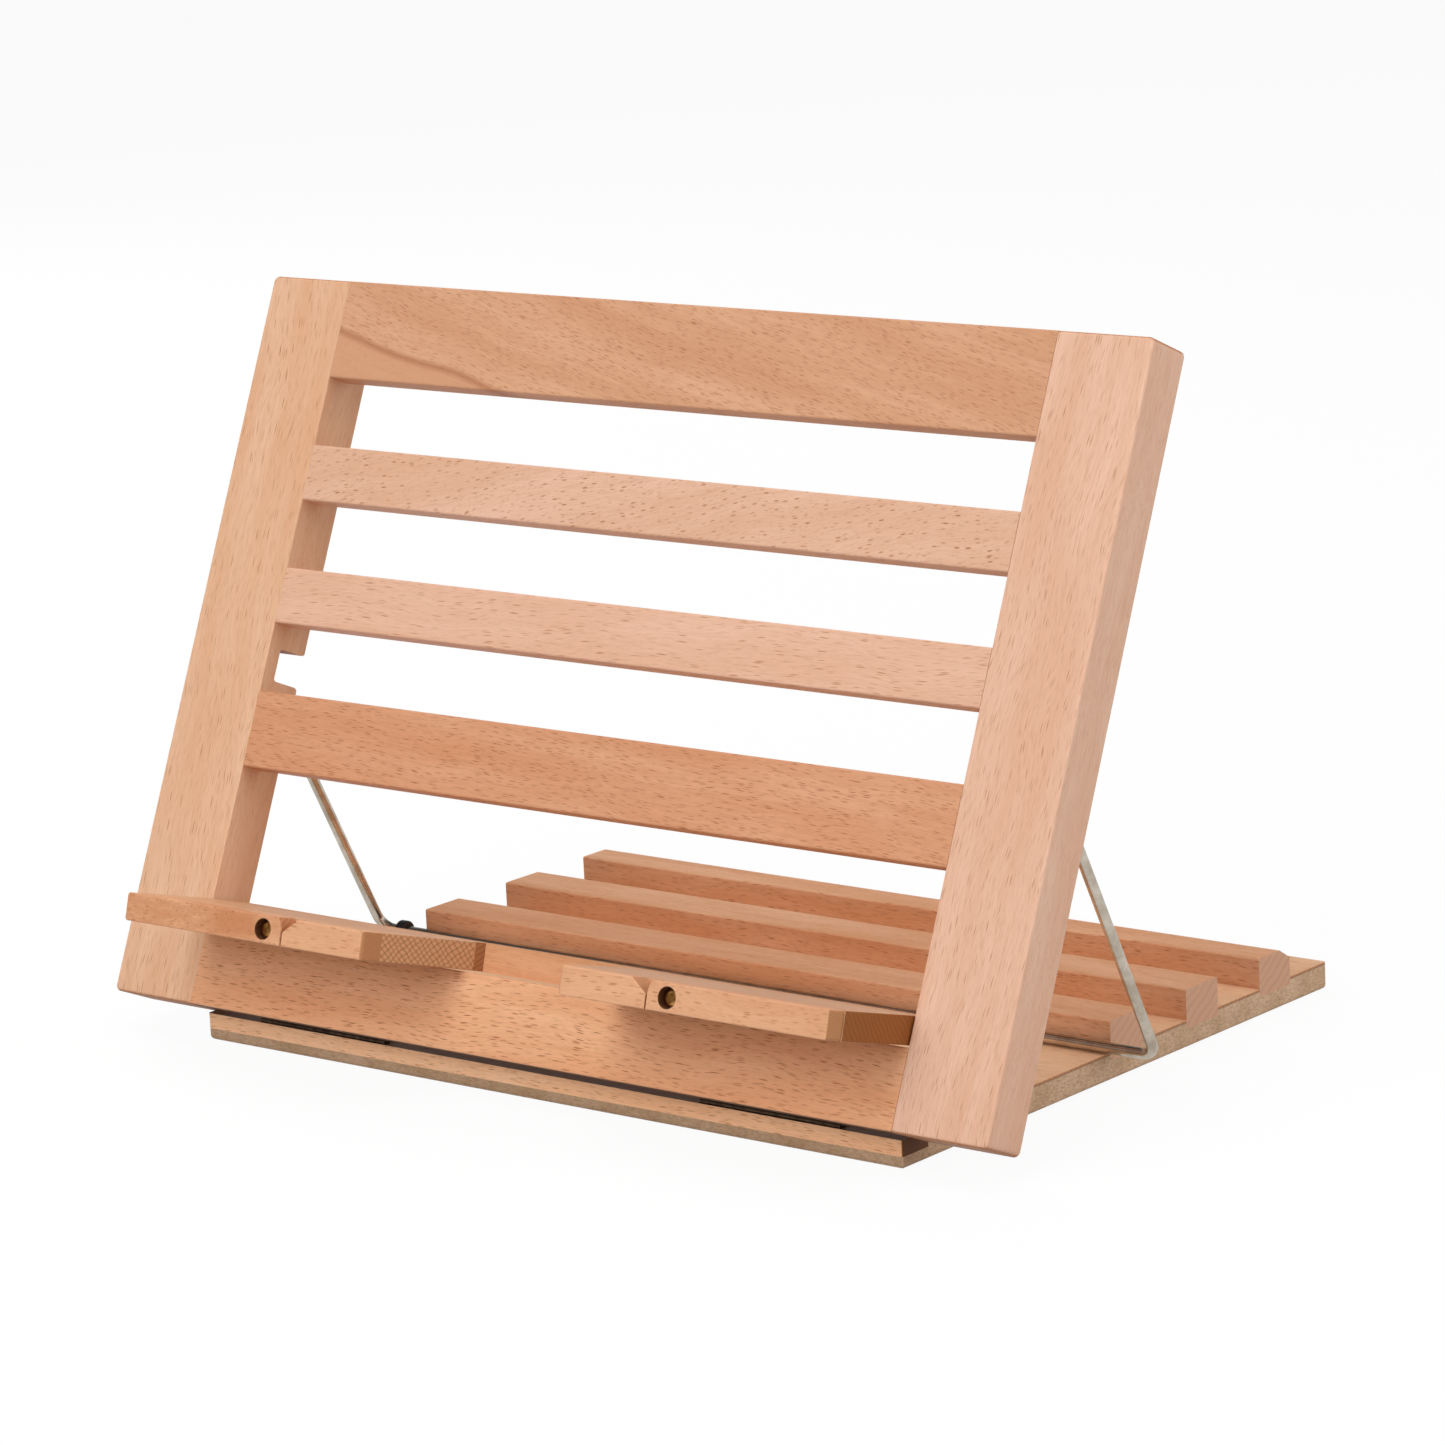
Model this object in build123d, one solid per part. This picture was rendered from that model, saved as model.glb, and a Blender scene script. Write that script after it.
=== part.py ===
from build123d import *
import os
from math import asin, cos, hypot, radians, sin, tan

# Folding beech book stand. A slatted frame leans back from a flat base on two butt hinges.
# A steel wire prop drops into a rack of three bars on the base and sets the lean. A ledge
# with two swinging page holders carries the book and flips up flush into the frame.
#
# Lengths are in millimetres and angles in degrees. The origin is the centre of the base's
# underside, +Z is up and the page side faces -Y. The stand is drawn open, with the prop in
# the first rack slot, the ledge down and both page holders lying along the ledge.

# Driving angles
right_angle = 90.0
half_turn = 180.0
lean_angle = 66.4
ledge_angle = 97.5
holder_swing_angle = 144.0

# Frame
frame_width = 395.0
stile_width = 38.4
stile_thickness = 20.0
rail_thickness = 10.0
rail_width = 28.2
ledge_opening = 60.2
slat_width = 20.7
slat_gap = 25.5
top_rail_width = 36.5
stile_edge_radius = 1.2
stile_corner_radius = 2.2
stile_joint_edge_radius = 0.3
rail_edge_radius = 0.8

# Dowels that hold the rails between the stiles
dowel_diameter = 5.0
dowel_length = 30.0
dowel_fit = 0.05
dowel_end_room = 0.5
dowel_place_share = 0.27

# Base
base_side_gap = 1.4
base_depth = 255.0
base_thickness = 10.0
veneer_thickness = 0.6
base_corner_radius = 1.0
base_bottom_radius = 1.6
hinge_strip_depth = 14.0
hinge_strip_thickness = 5.7

# Rack bars
rack_bar_width = 19.6
rack_bar_seat = 3.0
rack_bar_nest_gap = 0.3
rack_bar_edge_radius = 0.8
rear_bar_chamfer_depth = 6.2
rear_bar_chamfer_drop = 3.8

# Butt hinges
hinge_length = 60.0
hinge_to_stile = 27.4
hinge_knuckle_count = 4
hinge_leaf_width = 12.6
hinge_leaf_thickness = 0.6
hinge_leaf_corner_radius = 1.0
hinge_setback = 2.0
hinge_drop = 0.3
knuckle_diameter = 3.0
knuckle_gap = 0.2
knuckle_relief = 0.35
hinge_pin_diameter = 1.5
hinge_pin_fit = 0.05
hinge_screw_count = 3
hinge_screw_margin = 10.0
hinge_screw_reach = 7.4

# Countersunk screws of the hinges
leaf_screw_head_diameter = 4.2
leaf_screw_head_height = 1.1
leaf_screw_shank_diameter = 2.2
leaf_screw_length = 7.8
screw_fit = 0.05

# Wire prop and the notches and grooves that take it
wire_diameter = 4.0
wire_clearance = 0.3
wire_end_reach = 13.0
wire_foot_bend = 6.0
wire_head_bend = 3.0
prop_pivot_setback = 4.0
prop_hole_fit = 0.1
prop_hole_room = 1.0
notch_below_pivot = 8.0
notch_above_pivot = 4.0
notch_front_wall = 6.2
notch_past_leg = 3.9
notch_corner_radius = 1.3
notch_mouth_radius = 2.5
groove_clearance = 0.6

# Rubber ring on the prop's foot
ring_diameter = 7.8
ring_length = 4.2
ring_from_base = 9.3
ring_fit = 0.05
ring_edge_radius = 0.9

# Ledge
ledge_end_gap = 0.6
ledge_rest_gap = 0.6
ledge_nest_gap = 4.3
ledge_edge_radius = 0.5
cutout_front_width = 89.6
cutout_back_width = 64.0
spine_behind_joint = 8.9
spine_bridge_depth = 4.8
ledge_pin_diameter = 4.0
ledge_pin_in_spine = 12.0
ledge_pin_in_stile = 10.0
ledge_pin_room = 1.0
ledge_pin_fit = 0.08
glued_pin_fit = 0.02

# Lip blocks and page holders along the ledge's front
holder_depth = 8.0
lip_block_length = 37.4
lip_block_inner_radius = 2.0
holder_clearance = 0.3
holder_back_gap = 0.2
holder_heel = 8.7
holder_end_gap = 0.5
holder_tip_radius = 1.0

# Screws that the page holders turn on
holder_bore_fit = 0.1
counterbore_diameter = 7.4
counterbore_depth = 4.6
holder_screw_head_diameter = 6.0
holder_screw_head_height = 2.3
holder_screw_dome_radius = 0.9
holder_screw_shank_diameter = 3.2
holder_screw_length = 20.0
holder_screw_seat_gap = 0.1

# Cuts run past the wood by this much
overrun = 2.0

# Sizes worked out from the ones above
lean = radians(lean_angle)
ledge_slope_angle = ledge_angle - right_angle
ledge_slope = radians(ledge_slope_angle)
stop_slope = radians(half_turn - holder_swing_angle)

inner_face = frame_width / 2 - stile_width
mid_rail_start = rail_width + ledge_opening
mid_rail_end = mid_rail_start + rail_width
lower_slat_start = mid_rail_end + slat_gap
lower_slat_end = lower_slat_start + slat_width
upper_slat_start = lower_slat_end + slat_gap
upper_slat_end = upper_slat_start + slat_width
top_rail_start = upper_slat_end + slat_gap
stile_length = top_rail_start + top_rail_width

base_half_width = inner_face - base_side_gap
base_front = -base_depth / 2
base_back = base_depth / 2
core_top = base_thickness - veneer_thickness
strip_back = base_front + hinge_strip_depth

hinge_y = base_front + hinge_setback
hinge_z = base_thickness + hinge_leaf_thickness
hinge_t = rail_thickness + hinge_leaf_thickness
knuckle_length = hinge_length / hinge_knuckle_count

frame_y = hinge_y + hinge_drop * cos(lean) - hinge_t * sin(lean)
frame_z = hinge_z + hinge_drop * sin(lean) + hinge_t * cos(lean)
frame_place = Pos(0, frame_y, frame_z) * Rot(X=lean_angle)

slat_gap_starts = [mid_rail_end, lower_slat_end, upper_slat_end]
rack_bar_fronts = [hinge_y + hinge_drop + start + rack_bar_nest_gap for start in slat_gap_starts]
rack_bar_top = base_thickness + rail_thickness + 2 * hinge_leaf_thickness

wire_radius = wire_diameter / 2
prop_leg_x = inner_face + stile_width / 2
prop_pivot_s = mid_rail_end + slat_gap / 2
prop_pivot_t = stile_thickness - prop_pivot_setback
prop_pivot_y = frame_y + prop_pivot_s * cos(lean) + prop_pivot_t * sin(lean)
prop_pivot_z = frame_z + prop_pivot_s * sin(lean) - prop_pivot_t * cos(lean)
prop_foot_y = rack_bar_fronts[0] - wire_clearance - wire_radius
prop_foot_z = base_thickness + wire_clearance + wire_radius
prop_leg_length = hypot(prop_foot_y - prop_pivot_y, prop_pivot_z - prop_foot_z)

ledge_thickness = rail_thickness
ledge_half_thickness = ledge_thickness / 2
ledge_half_width = inner_face - ledge_end_gap
ledge_pivot_t = ledge_half_thickness
ledge_pivot_s = (rail_width + (ledge_half_thickness + ledge_rest_gap) / cos(ledge_slope)
                 + ledge_pivot_t * tan(ledge_slope))
ledge_heel = ledge_pivot_s - rail_width - ledge_rest_gap
ledge_reach = mid_rail_start - ledge_nest_gap - ledge_pivot_s
ledge_pivot_y = frame_y + ledge_pivot_s * cos(lean) + ledge_pivot_t * sin(lean)
ledge_pivot_z = frame_z + ledge_pivot_s * sin(lean) - ledge_pivot_t * cos(lean)
ledge_place = (Pos(0, ledge_pivot_y, ledge_pivot_z)
               * Rot(X=lean_angle + ledge_slope_angle - right_angle))

cutout_front_half = cutout_front_width / 2
cutout_back_half = cutout_back_width / 2
cutout_back = ledge_heel - spine_bridge_depth
spine_joint = ledge_heel - spine_behind_joint
shelf_front = holder_depth - ledge_reach
block_end = cutout_front_half + lip_block_length
holder_start = block_end + holder_clearance
holder_pivot_x = holder_start + holder_heel
holder_end = ledge_half_width - holder_end_gap


def block(x_from, x_to, y_from, y_to, z_from, z_to):
    """Box between two corners."""
    box = Box(x_to - x_from, y_to - y_from, z_to - z_from)
    return Pos((x_from + x_to) / 2, (y_from + y_to) / 2, (z_from + z_to) / 2) * box


def rod_x(radius, x_from, x_to, y=0, z=0):
    """Cylinder along X."""
    return Pos((x_from + x_to) / 2, y, z) * Rot(Y=right_angle) * Cylinder(radius, x_to - x_from)


def rod_y(radius, y_from, y_to, x):
    """Cylinder along Y."""
    return Pos(x, (y_from + y_to) / 2, 0) * Rot(X=right_angle) * Cylinder(radius, y_to - y_from)


def mirrored(shape):
    """The same piece on the other side of the stand."""
    return mirror(shape, about=Plane.YZ)


def eased_along_x(shape, radius):
    """Round the long edges of a bar that runs along X."""
    return fillet(shape.edges().filter_by(Axis.X), radius)


# In the frame's own axes +Y runs up the slope from the foot and -Z into the wood, so a
# depth behind the front face is a negative Z.

def dowel_places(start, width):
    """Heights of a rail's dowels: two in a wide rail and one in a slat."""
    if width > slat_width:
        inset = width * dowel_place_share
        return [start + inset, start + width - inset]
    return [start + width / 2]


rails = {
    "bottom_rail": (0, rail_width),
    "mid_rail": (mid_rail_start, rail_width),
    "lower_slat": (lower_slat_start, slat_width),
    "upper_slat": (upper_slat_start, slat_width),
    "top_rail": (top_rail_start, top_rail_width),
}
dowel_heights = [s for start, width in rails.values() for s in dowel_places(start, width)]
dowel_reach = dowel_length / 2 + dowel_end_room


def dowel_holes(heights):
    """Right-hand dowel holes, cut half in a rail's end and half in the stile."""
    radius = dowel_diameter / 2 + dowel_fit
    holes = Part()
    for s in heights:
        holes += rod_x(radius, inner_face - dowel_reach, inner_face + dowel_reach,
                       s, -rail_thickness / 2)
    return holes


def make_rail(start, width):
    """One cross rail or slat with eased edges and its dowel holes."""
    rail = block(-inner_face, inner_face, start, start + width, -rail_thickness, 0)
    rail = eased_along_x(rail, rail_edge_radius)
    holes = dowel_holes(dowel_places(start, width))
    return rail - holes - mirrored(holes)


def make_dowels():
    """All the dowels, as separate pegs."""
    right = [rod_x(dowel_diameter / 2, inner_face - dowel_length / 2,
                   inner_face + dowel_length / 2, s, -rail_thickness / 2)
             for s in dowel_heights]
    return right + [mirrored(peg) for peg in right]


def prop_notch():
    """Space for the prop's head in the stile's back, its mouth rounded outwards."""
    x_from = inner_face - overrun
    x_to = prop_leg_x + notch_past_leg
    s_from = prop_pivot_s - notch_below_pivot
    s_to = prop_pivot_s + notch_above_pivot
    notch = block(x_from, x_to, s_from, s_to, -stile_thickness - overrun, -notch_front_wall)
    front_corners = notch.edges().filter_by(Axis.X).group_by(Axis.Z)[-1]
    notch = fillet(front_corners, notch_corner_radius)
    mouth = block(x_from, x_to, s_from - notch_mouth_radius, s_to + notch_mouth_radius,
                  -stile_thickness - overrun, notch_mouth_radius - stile_thickness)
    for s in (s_from - notch_mouth_radius, s_to + notch_mouth_radius):
        mouth -= rod_x(notch_mouth_radius, x_from - overrun, x_to + overrun,
                       s, notch_mouth_radius - stile_thickness)
    return notch + mouth


def make_right_stile():
    """Side post with the prop's notch, pivot hole and stowing groove in its back."""
    outer_face = frame_width / 2
    stile = block(inner_face, outer_face, 0, stile_length, -stile_thickness, 0)
    stile = fillet(stile.edges().filter_by(Axis.Z).group_by(Axis.X)[-1], stile_corner_radius)
    front_rim = stile.faces().sort_by(Axis.Z)[-1].edges().sort_by(Axis.X)
    back_rim = stile.faces().sort_by(Axis.Z)[0].edges()
    stile = fillet(front_rim[1:] + back_rim, stile_edge_radius)
    joint_edge = stile.edges().filter_by(Axis.Y).group_by(Axis.X)[0].sort_by(Axis.Z)[-1]
    stile = fillet(joint_edge, stile_joint_edge_radius)
    notch = prop_notch()

    groove_half = wire_radius + groove_clearance
    stowed_foot_s = prop_pivot_s + prop_leg_length
    groove_floor = groove_half - prop_pivot_t
    leg_groove = block(prop_leg_x - groove_half, prop_leg_x + groove_half,
                       prop_pivot_s, stowed_foot_s + groove_half,
                       -stile_thickness - overrun, groove_floor)
    foot_groove = block(inner_face - overrun, prop_leg_x + groove_half,
                        stowed_foot_s - groove_half, stowed_foot_s + groove_half,
                        -stile_thickness - overrun, groove_floor)
    hole_end = prop_leg_x + wire_end_reach + prop_hole_room
    pivot_hole = rod_x(wire_radius + prop_hole_fit, prop_leg_x, hole_end,
                       prop_pivot_s, -prop_pivot_t)
    pin_hole = rod_x(ledge_pin_diameter / 2 + ledge_pin_fit, inner_face - overrun,
                     inner_face + ledge_pin_in_stile + ledge_pin_room,
                     ledge_pivot_s, -ledge_pivot_t)
    return stile - notch - leg_groove - foot_groove - pivot_hole - pin_hole - dowel_holes(dowel_heights)


# Hinges. Both leaves lie against their wood, and their knuckles share one axis.

def screw_offsets():
    """Places of a leaf's screws along the hinge."""
    first = hinge_screw_margin - hinge_length / 2
    step = -2 * first / (hinge_screw_count - 1)
    return [first + step * i for i in range(hinge_screw_count)]


def countersunk_screw(fit=0):
    """Screw along -Z with its head's face at Z 0; a fit makes the hole for it."""
    head_radius = leaf_screw_head_diameter / 2 + fit
    shank_radius = leaf_screw_shank_diameter / 2 + fit
    head = Pos(0, 0, -leaf_screw_head_height / 2) * Cone(shank_radius, head_radius,
                                                         leaf_screw_head_height)
    length = leaf_screw_length - leaf_screw_head_height + fit
    shank = Pos(0, 0, -leaf_screw_head_height - length / 2) * Cylinder(shank_radius, length)
    return head + shank


def leaf_screws(fit=0):
    """A leaf's row of screws, on a leaf whose outer face is at Z 0 and axis at Y 0."""
    return [Pos(x, hinge_screw_reach, 0) * countersunk_screw(fit) for x in screw_offsets()]


def make_leaf(first_knuckle):
    """Hinge leaf with its top at Z 0 on the pin's axis, and every second knuckle."""
    knuckle_radius = knuckle_diameter / 2
    plate_start = knuckle_radius + knuckle_relief
    half = hinge_length / 2
    leaf = block(-half, half, plate_start, hinge_leaf_width, -hinge_leaf_thickness, 0)
    far_corners = leaf.edges().filter_by(Axis.Z).group_by(Axis.Y)[-1]
    leaf = fillet(far_corners, hinge_leaf_corner_radius)
    for index in range(first_knuckle, hinge_knuckle_count, 2):
        x_from = index * knuckle_length - half + knuckle_gap / 2
        x_to = x_from + knuckle_length - knuckle_gap
        leaf += block(x_from, x_to, 0, plate_start, -hinge_leaf_thickness, 0)
        leaf += rod_x(knuckle_radius, x_from, x_to)
    leaf -= rod_x(hinge_pin_diameter / 2 + hinge_pin_fit, -half - overrun, half + overrun)
    for screw in leaf_screws(screw_fit):
        leaf -= screw
    return leaf


hinge_offset = inner_face - hinge_to_stile - hinge_length / 2
hinge_centres = {"left": -hinge_offset, "right": hinge_offset}


def base_hinge_place(side):
    """Hinge axes on the base: leaf flat on the hinge strip."""
    return Pos(hinge_centres[side], hinge_y, hinge_z)


def frame_hinge_place(side):
    """The same hinge in the frame's axes: leaf flat on the bottom rail's back."""
    return Pos(hinge_centres[side], -hinge_drop, -hinge_t) * Rot(Y=half_turn)


def knuckle_trough(place):
    """Space for a hinge's knuckles in the wood beside it."""
    half = hinge_length / 2 + knuckle_relief
    return place * rod_x(knuckle_diameter / 2 + knuckle_relief, -half, half)


def cut_for_hinges(wood, place_of):
    """Cut the knuckle troughs and screw holes of both hinges."""
    for side in hinge_centres:
        place = place_of(side)
        wood -= knuckle_trough(place)
        for hole in leaf_screws(screw_fit):
            wood -= place * hole
    return wood


# Base: a fibre core with a beech veneer, and a solid beech strip let in along the front.

def base_slab():
    """Whole base before it is divided into its layers."""
    slab = block(-base_half_width, base_half_width, base_front, base_back, 0, base_thickness)
    slab = fillet(slab.edges().filter_by(Axis.Z), base_corner_radius)
    return fillet(slab.edges().group_by(Axis.Z)[0], base_bottom_radius)


def strip_zone():
    """Space of the hinge strip in the base's front edge."""
    return block(-base_half_width - overrun, base_half_width + overrun, base_front - overrun,
                 strip_back, base_thickness - hinge_strip_thickness, base_thickness + overrun)


def veneer_zone():
    """Space above the core."""
    return block(-base_half_width - overrun, base_half_width + overrun, base_front - overrun,
                 base_back + overrun, core_top, base_thickness + overrun)


def rack_zone(front):
    """Space of one rack bar, from the bottom of its dado to its top."""
    return block(-base_half_width, base_half_width, front, front + rack_bar_width,
                 base_thickness - rack_bar_seat, rack_bar_top)


def make_base_board():
    core = base_slab() - strip_zone() - veneer_zone()
    for front in rack_bar_fronts:
        core -= rack_zone(front)
    for side in hinge_centres:
        for hole in leaf_screws(screw_fit):
            core -= base_hinge_place(side) * hole
    return core


def make_top_veneer():
    veneer = (base_slab() & veneer_zone()) - strip_zone()
    for front in rack_bar_fronts:
        veneer -= rack_zone(front)
    return veneer


def make_hinge_strip():
    return cut_for_hinges(base_slab() & strip_zone(), base_hinge_place)


def make_rack_bar(front):
    """Bar in its dado, with its two upper long edges eased."""
    bar = rack_zone(front)
    return fillet(bar.edges().filter_by(Axis.X).group_by(Axis.Z)[-1], rack_bar_edge_radius)


def make_rear_rack_bar(front):
    """Rear bar, chamfered behind so that the frame clears it as it closes."""
    bar = rack_zone(front)
    top = bar.faces().sort_by(Axis.Z)[-1]
    back_edge = top.edges().filter_by(Axis.X).sort_by(Axis.Y)[-1]
    bar = chamfer(back_edge, rear_bar_chamfer_depth, rear_bar_chamfer_drop, reference=top)
    front_edge = bar.edges().filter_by(Axis.X).group_by(Axis.Z)[-1].sort_by(Axis.Y)[0]
    return fillet(front_edge, rack_bar_edge_radius)


# Wire prop: one bent rod, its two ends turned outwards into the stiles.

def make_wire_prop():
    end_x = prop_leg_x + wire_end_reach
    corners = [
        (-end_x, prop_pivot_y, prop_pivot_z),
        (-prop_leg_x, prop_pivot_y, prop_pivot_z),
        (-prop_leg_x, prop_foot_y, prop_foot_z),
        (prop_leg_x, prop_foot_y, prop_foot_z),
        (prop_leg_x, prop_pivot_y, prop_pivot_z),
        (end_x, prop_pivot_y, prop_pivot_z),
    ]
    bends = [wire_head_bend, wire_foot_bend, wire_foot_bend, wire_head_bend]
    path = FilletPolyline(*corners, radius=bends)
    section = Plane(origin=path @ 0, z_dir=path % 0) * Circle(wire_radius)
    return sweep(section, path=path)


def make_rubber_ring():
    """Bumper ring on the prop's foot, just outside the base's left side."""
    x_mid = -base_half_width - ring_from_base
    x_from = x_mid - ring_length / 2
    x_to = x_mid + ring_length / 2
    ring = rod_x(ring_diameter / 2, x_from, x_to, prop_foot_y, prop_foot_z)
    ring = fillet(ring.edges(), ring_edge_radius)
    return ring - rod_x(wire_radius + ring_fit, x_from - overrun, x_to + overrun,
                        prop_foot_y, prop_foot_z)


# In the ledge's own axes the origin is the pivot's axis, +Y runs back and +Z is its top.

def ledge_profile_cutter():
    """Space behind the heel, left by a round about the pivot under the ledge's back edge."""
    heel_corner = block(-ledge_half_width - overrun, ledge_half_width + overrun,
                        0, ledge_heel + overrun, -ledge_half_thickness - overrun, 0)
    return heel_corner - rod_x(ledge_heel, -ledge_half_width - overrun,
                               ledge_half_width + overrun)


def cutout_zone():
    """Space of the cut-out between the shelves, narrower at the back."""
    outline = Polyline((-cutout_front_half, -ledge_reach - overrun), (-cutout_front_half, -ledge_reach),
                       (-cutout_back_half, cutout_back), (cutout_back_half, cutout_back),
                       (cutout_front_half, -ledge_reach), (cutout_front_half, -ledge_reach - overrun),
                       close=True)
    height = ledge_half_thickness + overrun
    return Pos(0, 0, -height) * extrude(make_face(outline), 2 * height, dir=(0, 0, 1))


def make_ledge_spine():
    """Strip between the stiles that carries the pivots and bridges the two shelves."""
    spine = block(-ledge_half_width, ledge_half_width, spine_joint, ledge_heel,
                  -ledge_half_thickness, ledge_half_thickness)
    spine -= ledge_profile_cutter()
    spine -= cutout_zone()
    back_edges = spine.edges().filter_by(Axis.X).group_by(Axis.Y)[-1]
    spine = fillet(back_edges.sort_by(Axis.Z)[-1], ledge_edge_radius)
    pin_start = ledge_half_width - ledge_pin_in_spine
    pin_hole = rod_x(ledge_pin_diameter / 2 + glued_pin_fit, pin_start,
                     ledge_half_width + overrun)
    return spine - pin_hole - mirrored(pin_hole)


def make_right_shelf():
    """Shelf board glued to the spine, drilled for the page holder's screw."""
    shelf = block(0, ledge_half_width, shelf_front, spine_joint,
                  -ledge_half_thickness, ledge_half_thickness) - cutout_zone()
    cut_side = shelf.faces().sort_by(Axis.X)[0].edges().group_by(Axis.Z)
    outer_edges = shelf.edges().filter_by(Axis.Y).group_by(Axis.X)[-1]
    shelf = fillet(cut_side[0] + cut_side[-1] + outer_edges, ledge_edge_radius)
    return shelf - make_right_holder_screw(screw_fit)


def make_right_ledge_pin():
    pin = rod_x(ledge_pin_diameter / 2, ledge_half_width - ledge_pin_in_spine,
                inner_face + ledge_pin_in_stile)
    return pin


def make_right_lip_block():
    """Fixed block at the ledge's lip, bevelled where the raised page holder comes to rest."""
    half = ledge_half_thickness
    stop_distance = half + holder_clearance
    reach_at_top = (stop_distance + half * cos(stop_slope)) / sin(stop_slope)
    end_reach = holder_pivot_x - block_end
    bevel_foot = (end_reach * sin(stop_slope) - stop_distance) / cos(stop_slope)
    outline = Polyline((cutout_back_half, -half), (block_end, -half), (block_end, bevel_foot),
                       (holder_pivot_x - reach_at_top, half), (cutout_back_half, half), close=True)
    lip = extrude(Plane.XZ * make_face(outline), holder_depth, dir=(0, 1, 0))
    lip = Pos(0, -ledge_reach, 0) * lip - cutout_zone()
    inner_edge = lip.edges().filter_by(Axis.Z).group_by(Axis.Y)[0].sort_by(Axis.X)[0]
    lip = fillet(inner_edge, lip_block_inner_radius)
    return fillet(lip.faces().sort_by(Axis.Y)[0].edges(), ledge_edge_radius)


def make_right_page_holder():
    """Swinging arm: a round heel on top lets it rise, a square one below stops it level."""
    half = ledge_half_thickness
    heel_angle = asin(half / holder_heel)
    arc_start = (holder_pivot_x - holder_heel * cos(heel_angle), half)
    arc_middle = (holder_pivot_x - holder_heel * cos(heel_angle / 2),
                  holder_heel * sin(heel_angle / 2))
    outline = Polyline((holder_start, 0), (holder_start, -half), (holder_end, -half),
                       (holder_end, half), arc_start)
    outline += ThreePointArc(arc_start, arc_middle, (holder_start, 0))
    arm = extrude(Plane.XZ * make_face(outline), holder_depth - holder_back_gap, dir=(0, 1, 0))
    arm = fillet(arm.edges().filter_by(Axis.Y).group_by(Axis.X)[-1], holder_tip_radius)
    arm = fillet(arm.faces().sort_by(Axis.Y)[0].edges(), ledge_edge_radius)
    arm = Pos(0, -ledge_reach, 0) * arm
    floor = counterbore_depth - ledge_reach
    arm -= rod_y(counterbore_diameter / 2, -ledge_reach - overrun, floor, holder_pivot_x)
    arm -= rod_y(holder_screw_shank_diameter / 2 + holder_bore_fit, -ledge_reach - overrun,
                 shelf_front + overrun, holder_pivot_x)
    return arm


def make_right_holder_screw(fit=0):
    """Domed brass screw at the floor of the counterbore; a fit makes the hole for it."""
    seat = counterbore_depth - ledge_reach - holder_screw_seat_gap
    head_radius = holder_screw_head_diameter / 2
    head = rod_y(head_radius, seat - holder_screw_head_height, seat, holder_pivot_x)
    head = fillet(head.edges().group_by(Axis.Y)[0], holder_screw_dome_radius)
    shank_radius = holder_screw_shank_diameter / 2 + fit
    return head + rod_y(shank_radius, seat, seat + holder_screw_length + fit, holder_pivot_x)


def save(node, *solids):
    """Write one node's STEP file."""
    shape = solids[0] if len(solids) == 1 else Compound(children=list(solids))
    export_step(shape, f"parts/{node}.step")


os.makedirs("parts", exist_ok=True)

save("base_board", make_base_board())
save("top_veneer", make_top_veneer())
save("hinge_strip", make_hinge_strip())
save("rack_bar_front", make_rack_bar(rack_bar_fronts[0]))
save("rack_bar_middle", make_rack_bar(rack_bar_fronts[1]))
save("rack_bar_rear", make_rear_rack_bar(rack_bar_fronts[2]))

right_stile = make_right_stile()
save("right_stile", frame_place * right_stile)
save("left_stile", frame_place * mirrored(right_stile))
for node, (start, width) in rails.items():
    rail = make_rail(start, width)
    if node == "bottom_rail":
        rail = cut_for_hinges(rail, frame_hinge_place)
    save(node, frame_place * rail)
save("rail_dowels", *[frame_place * peg for peg in make_dowels()])

hinge_pin = rod_x(hinge_pin_diameter / 2, -hinge_length / 2, hinge_length / 2)
for side in hinge_centres:
    on_base = base_hinge_place(side)
    on_frame = frame_place * frame_hinge_place(side)
    save(f"{side}_hinge_base_leaf", on_base * make_leaf(0))
    save(f"{side}_hinge_frame_leaf", on_frame * make_leaf(0))
    save(f"{side}_hinge_pin", on_base * hinge_pin)
save("base_hinge_screws", *[base_hinge_place(side) * screw
                            for side in hinge_centres for screw in leaf_screws()])
save("frame_hinge_screws", *[frame_place * frame_hinge_place(side) * screw
                             for side in hinge_centres for screw in leaf_screws()])

save("wire_prop", make_wire_prop())
save("rubber_ring", make_rubber_ring())

save("ledge_spine", ledge_place * make_ledge_spine())
for node, piece in {
    "shelf": make_right_shelf(),
    "lip_block": make_right_lip_block(),
    "ledge_pin": make_right_ledge_pin(),
    "holder_screw": make_right_holder_screw(),
    "page_holder": make_right_page_holder(),
}.items():
    save(f"right_{node}", ledge_place * piece)
    save(f"left_{node}", ledge_place * mirrored(piece))

print("frame hinge axis y, z:", hinge_y, hinge_z)
print("prop pivot y, z:", prop_pivot_y, prop_pivot_z, "foot y, z:", prop_foot_y, prop_foot_z)
print("ledge pivot y, z:", ledge_pivot_y, ledge_pivot_z, "page holder pivot x:", holder_pivot_x)
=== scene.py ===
# %% [markdown]
# # A folding beech book stand
# The real stand is sanded beech: a slatted frame that leans back from a flat base, a ledge
# with two swinging page holders, and a bent steel wire that props the frame on a rack.
# The wooden parts could be modelled again here, but the imported model already has their exact
# shapes. So we load it as a fixed frame, and spend the effort on finishes, light and the small
# metal parts. The finished object has to stay inside it.

# %% Load the imported model
from math import cos, pi, radians, sin

import bmesh
import bpy
from mathutils import Matrix, Vector


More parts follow.
